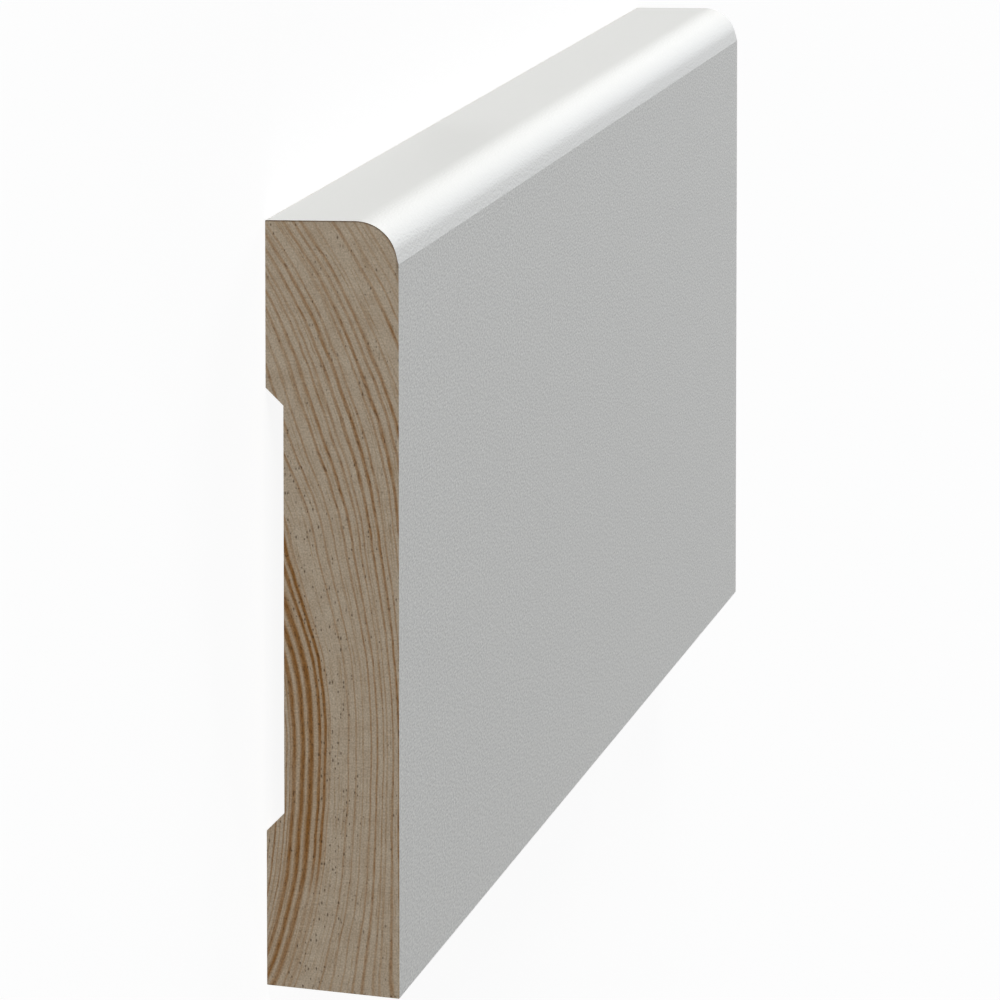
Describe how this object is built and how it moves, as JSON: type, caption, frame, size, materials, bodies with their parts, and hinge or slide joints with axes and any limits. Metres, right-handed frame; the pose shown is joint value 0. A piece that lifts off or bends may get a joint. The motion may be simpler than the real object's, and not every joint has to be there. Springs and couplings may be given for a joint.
{
  "type": "skirting board length",
  "caption": "Short length of painted solid pine skirting board with a rounded top arris, an undercut foot and a relieved back.",
  "frame": {"origin": "centre of the footprint of the board lying on its back, on the plane of the two back lands", "axes": "+Y along the grain, from the near sawn end to the far one; +Z through the thickness, out of the painted face; +X across the width, from the rounded top edge towards the foot"},
  "size_m": [0.07, 0.3, 0.012],
  "materials": {
    "painted_pine": "matt off-white primer paint on face, arris, top edge and foot; bare pine on the back and sawn ends"
  },
  "bodies": {
    "root": {"skirting_board": "painted_pine"}
  },
  "joints": []
}
